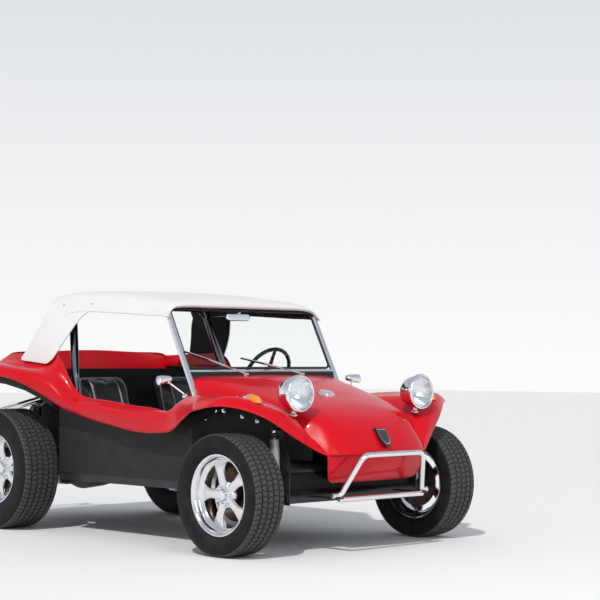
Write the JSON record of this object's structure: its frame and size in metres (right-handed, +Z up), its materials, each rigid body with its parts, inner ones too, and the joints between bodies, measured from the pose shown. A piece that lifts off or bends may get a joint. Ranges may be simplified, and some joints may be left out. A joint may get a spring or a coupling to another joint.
{
  "type": "dune buggy",
  "caption": "Open two seat dune buggy: moulded shell on a short floor pan, white hardtop, polished alloy wheels, wide rear tyres, steering front wheels and rear engine.",
  "frame": {"origin": "on the ground under the middle of the buggy's length and width", "axes": "+X forward to the nose, +Y to the buggy's left, +Z up"},
  "size_m": [3.336, 1.776, 1.4034],
  "materials": {
    "black_steel": "satin",
    "grey_paint": "satin",
    "cast_alloy": "rough cast",
    "exhaust_steel": "satin",
    "red_shell": "gloss",
    "black_liner": "matt",
    "black_panel": "textured",
    "polished_alloy": "polished",
    "clear_glass": "clear",
    "white_shell": "satin",
    "chrome": "mirror",
    "black_vinyl": "grained",
    "dark_grip": "satin",
    "lamp_glass": "fluted",
    "amber_lens": "gloss",
    "badge_black": "gloss",
    "tyre_rubber": "matt",
    "brake_iron": "worn"
  },
  "bodies": {
    "root": {"floor_pan": "black_steel", "front_beam": "black_steel", "front_shocks": "grey_paint", "transaxle": "cast_alloy", "engine": "cast_alloy", "exhaust": "exhaust_steel", "rear_suspension": "black_steel", "front_body": "red_shell", "hood": "red_shell", "body_sides": "red_shell", "rear_body": "red_shell", "tub": "black_liner", "side_panels": "black_panel", "dash": "black_liner", "windshield_frame": "polished_alloy", "windshield_glass": "clear_glass", "hardtop": "white_shell", "roll_bar": "chrome", "seats": "black_vinyl", "controls": "black_steel", "headlamp_bowls": "chrome", "headlamp_lenses": "lamp_glass", "signal_lamps": "amber_lens", "mirrors": "chrome", "wipers": "dark_grip", "front_bumper": "chrome", "rear_guard": "chrome", "badge": "badge_black"},
    "knuckle_left": {"knuckle_left": "black_steel"},
    "knuckle_right": {"knuckle_right": "black_steel"},
    "tie_rod": {"tie_rod": "black_steel"},
    "steering_wheel": {"steering_wheel": "dark_grip"},
    "wheel_fl": {"tyre_fl": "tyre_rubber", "rim_fl": "polished_alloy", "brake_fl": "brake_iron"},
    "wheel_fr": {"tyre_fr": "tyre_rubber", "rim_fr": "polished_alloy", "brake_fr": "brake_iron"},
    "wheel_rl": {"tyre_rl": "tyre_rubber", "rim_rl": "polished_alloy", "brake_rl": "brake_iron"},
    "wheel_rr": {"tyre_rr": "tyre_rubber", "rim_rr": "polished_alloy", "brake_rr": "brake_iron"}
  },
  "joints": [
    {"name": "steer_left", "type": "hinge", "parent": "root", "child": "knuckle_left", "pos_m": [1.192, 0.6, 0.31], "axis": [0, 0, 1], "range_deg": [-28, 28]},
    {"name": "steer_right", "type": "hinge", "parent": "root", "child": "knuckle_right", "pos_m": [1.192, -0.6, 0.31], "axis": [0, 0, 1], "range_deg": [-28, 28]},
    {"name": "tie_rod_slide", "type": "slide", "parent": "root", "child": "tie_rod", "axis": [0, 1, 0], "range_m": [-0.06, 0.06]},
    {"name": "steering_wheel_turn", "type": "hinge", "parent": "root", "child": "steering_wheel", "pos_m": [0.322, 0.33, 0.91], "axis": [-0.8829, 0, 0.4695], "range_deg": [-450, 450]},
    {"name": "spin_fl", "type": "hinge", "parent": "knuckle_left", "child": "wheel_fl", "pos_m": [1.192, 0.724, 0.31], "axis": [0, 1, 0], "continuous": true},
    {"name": "spin_fr", "type": "hinge", "parent": "knuckle_right", "child": "wheel_fr", "pos_m": [1.192, -0.724, 0.31], "axis": [0, 1, 0], "continuous": true},
    {"name": "spin_rl", "type": "hinge", "parent": "root", "child": "wheel_rl", "pos_m": [-0.84, 0.682, 0.352], "axis": [0, 1, 0], "continuous": true},
    {"name": "spin_rr", "type": "hinge", "parent": "root", "child": "wheel_rr", "pos_m": [-0.84, -0.682, 0.352], "axis": [0, 1, 0], "continuous": true}
  ],
  "couplings": [
    {"joint": "steer_right", "follows": "steer_left", "ratio": 1},
    {"joint": "tie_rod_slide", "follows": "steer_left", "m_per_rad": 0.085},
    {"joint": "steering_wheel_turn", "follows": "steer_left", "ratio": 15}
  ]
}
